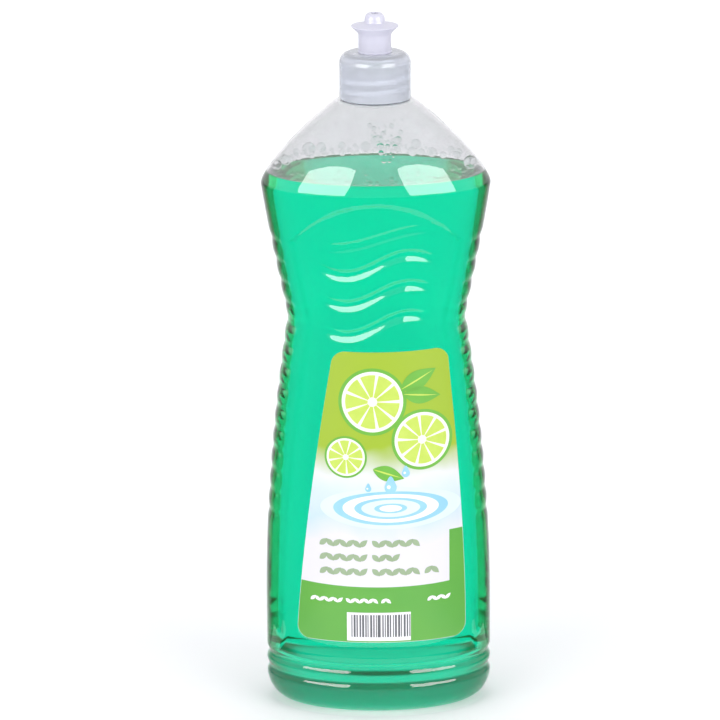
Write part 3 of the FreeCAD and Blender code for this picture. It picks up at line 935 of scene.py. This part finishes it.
FLOOR_REACH, FLOOR_DROP = 6, 0.06
FOOT_FIELD = (-0.14, 0.14, -0.28, 0.05)
LAMP_TARGET_Z, SHINE_GAP = 0.14, 0.01


def look_at(thing, target, roll=0.0):
    """Turns a lamp or the camera to a place, with a roll in radians about its own line of sight."""
    direction = Vector(target) - thing.location
    thing.rotation_mode = "QUATERNION"
    turn = Matrix.Rotation(roll, 3, "Z").to_quaternion()
    thing.rotation_quaternion = direction.to_track_quat("-Z", "Y") @ turn


def floor():
    """White paper a hair below the foot, so that the two faces don't fight.

    Only the part by the foot is mirrored. Under the foot the paper has a painted glow, a pale mint pool of
    light that stands in for the light a clear bottle lets through. Far out it glows too, so that it stays as
    white as near the softboxes."""
    paper, tree, shader, place = material("Seamless background paper, white")
    tinted(tree, place, 60, "#F6F6F8", "#F9F9FA", shader.inputs["Base Color"])
    mottled(tree, place, 4, 0.7, 0.85, shader.inputs["Roughness"])
    shader.inputs["Specular IOR Level"].default_value = 0.1
    scale = (1 / (BASE_HALF_WIDTH * MM), 1 / (BASE_HALF_DEPTH * MM), 0)
    oval = add(tree, "ShaderNodeVectorMath", {"operation": "MULTIPLY", 1: scale}, {0: place})
    out = add(tree, "ShaderNodeVectorMath", {"operation": "LENGTH"}, {0: oval.outputs[0]})
    # Painted light: inside the foot's oval the paper glows, a painted pool of light for what comes down
    # through the bottle and soap.
    under = add(tree, "ShaderNodeMapRange",
                {"From Min": 0.65, "From Max": 0.95, "To Min": 0.6, "To Max": 0.0},
                {"Value": out.outputs["Value"]})
    far = add(tree, "ShaderNodeMapRange",
              {"From Min": 10.0, "From Max": 30.0, "To Min": 0.0, "To Max": 0.2},
              {"Value": out.outputs["Value"]})
    # The painted glow under the foot, added to the far glow that keeps the distant paper evenly white.
    painted_glow = add(tree, "ShaderNodeMath", {"operation": "ADD"}, {0: under.outputs[0], 1: far.outputs[0]})
    tree.links.new(painted_glow.outputs[0], shader.inputs["Emission Strength"])
    # Mint tint of the painted glow.
    shader.inputs["Emission Color"].default_value = linear("#E6F8F0")

    left, right, front, back = FOOT_FIELD
    around = [(-FLOOR_REACH, FLOOR_REACH, -FLOOR_REACH, front), (-FLOOR_REACH, left, front, FLOOR_REACH),
              (right, FLOOR_REACH, front, FLOOR_REACH), (left, right, back, FLOOR_REACH)]
    low = -FLOOR_DROP * MM
    for name, fields, mirrored in (("floor_by_foot", [FOOT_FIELD], True), ("floor_around", around, False)):
        points = [(x, y, low) for x_low, x_high, y_low, y_high in fields
                  for x, y in ((x_low, y_low), (x_high, y_low), (x_high, y_high), (x_low, y_high))]
        mesh = bpy.data.meshes.new(name)
        mesh.from_pydata(points, [], [(i, i + 1, i + 2, i + 3) for i in range(0, len(points), 4)])
        mesh.materials.append(paper)
        made = bpy.data.objects.new(name, mesh)
        bpy.context.scene.collection.objects.link(made)
        made.visible_glossy = mirrored


def softbox(name, azimuth, elevation, distance, width, height, power, shine):
    """Area light at an azimuth from the front, to the right if positive, that faces the bottle.

    Its mirror image has a power of its own and hangs a little nearer, so that the two don't coincide."""
    a, e = math.radians(azimuth), math.radians(elevation)
    towards = Vector((math.sin(a) * math.cos(e), -math.cos(a) * math.cos(e), math.sin(e)))
    for part, energy, mirrored in ((name, power, False), (name + "_shine", shine, True)):
        lamp = bpy.data.lights.new(part, "AREA")
        lamp.shape = "RECTANGLE"
        lamp.size, lamp.size_y, lamp.energy = width, height, energy
        made = bpy.data.objects.new(part, lamp)
        bpy.context.scene.collection.objects.link(made)
        made.location = towards * (distance - (SHINE_GAP if mirrored else 0))
        made.location.z += LAMP_TARGET_Z
        look_at(made, (0, 0, LAMP_TARGET_Z))
        made.visible_transmission = False
        made.visible_glossy = mirrored
        made.visible_diffuse = not mirrored


def room():
    """White room that darkens round to the camera and downwards, so that the soap keeps its colour."""
    world = bpy.data.worlds.new("white room")
    bpy.context.scene.world = world
    world.use_nodes = True
    tree = world.node_tree
    place = add(tree, "ShaderNodeTexCoord")
    split = add(tree, "ShaderNodeSeparateXYZ", {}, {0: place.outputs["Generated"]})
    _, y, z = split.outputs
    share = add(tree, "ShaderNodeMapRange",
                {"From Min": -0.9, "From Max": -0.1, "To Min": 0.6, "To Max": 1.08}, {"Value": y})
    above = add(tree, "ShaderNodeMapRange", {"From Min": -0.1, "From Max": 0.0}, {"Value": z})
    behind = add(tree, "ShaderNodeMapRange",
                 {"From Min": 0.6, "From Max": 0.9, "To Min": 0.12, "To Max": 1.0}, {"Value": y})
    lit = add(tree, "ShaderNodeMath", {"operation": "MAXIMUM"}, {0: above.outputs[0], 1: behind.outputs[0]})
    strength = add(tree, "ShaderNodeMath", {"operation": "MULTIPLY"},
                   {0: share.outputs[0], 1: lit.outputs[0]})
    tree.links.new(strength.outputs[0], tree.nodes["Background"].inputs["Strength"])
    tree.nodes["Background"].inputs["Color"].default_value = linear("#FDFDFF")


PHOTO_SIZE, SHIFT_RIGHT, SHIFT_UP, ROLL = 720, -16.9, 7.6, -0.37


def camera():
    """Camera in front and above, on a long lens, framed as the photograph is."""
    lens = bpy.data.cameras.new("camera")
    lens.sensor_width, lens.lens = 36.0, 267.4
    lens.shift_x, lens.shift_y = SHIFT_RIGHT / PHOTO_SIZE, SHIFT_UP / PHOTO_SIZE
    lens.clip_start, lens.clip_end = 0.1, 20
    made = bpy.data.objects.new("camera", lens)
    bpy.context.scene.collection.objects.link(made)
    made.location = (0, -2.186, 0.727)
    look_at(made, (0, 0, 0.145), math.radians(ROLL))
    bpy.context.scene.camera = made


floor()
room()
softbox("softbox_left", -43, 23, 1.5, 1.15, 0.8, 8, 27)
softbox("softbox_right", 45, 23, 1.5, 1.15, 0.85, 8, 27)
camera()
bpy.context.scene.view_settings.view_transform = "Standard"
bpy.context.scene.cycles.max_bounces = 32
bpy.context.scene.cycles.transmission_bounces = 32
bpy.context.scene.cycles.glossy_bounces = 16
